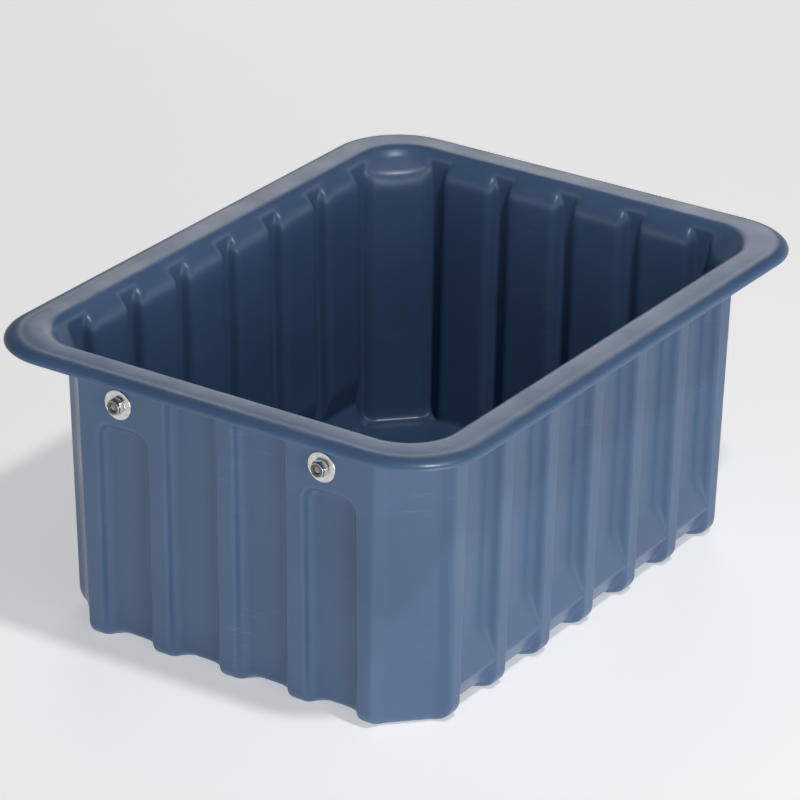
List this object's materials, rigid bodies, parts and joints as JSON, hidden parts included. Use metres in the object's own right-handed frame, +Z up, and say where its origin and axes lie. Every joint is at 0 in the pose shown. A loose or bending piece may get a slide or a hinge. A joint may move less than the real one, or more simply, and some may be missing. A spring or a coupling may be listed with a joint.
{
  "type": "open ribbed plastic tub",
  "caption": "Open moulded plastic tub with ribbed drafted walls, a broad rounded rim and bolts with washers and lock nuts through one short wall.",
  "frame": {"origin": "centre of the footprint at the level the feet stand on", "axes": "+X along the short walls to the right, +Y from the bolted short wall to the back short wall, +Z up"},
  "size_m": [0.44, 0.574, 0.257],
  "materials": {
    "tub_plastic": "satin moulded polyethylene",
    "plated_steel": "bright zinc plating",
    "nylon": "natural nylon"
  },
  "bodies": {
    "root": {"tub": "tub_plastic", "left_bolt": "plated_steel", "right_bolt": "plated_steel", "left_inner_washer": "plated_steel", "right_inner_washer": "plated_steel", "left_outer_washer": "plated_steel", "right_outer_washer": "plated_steel", "left_lock_nut": "plated_steel", "right_lock_nut": "plated_steel", "left_nut_insert": "nylon", "right_nut_insert": "nylon"}
  },
  "joints": []
}
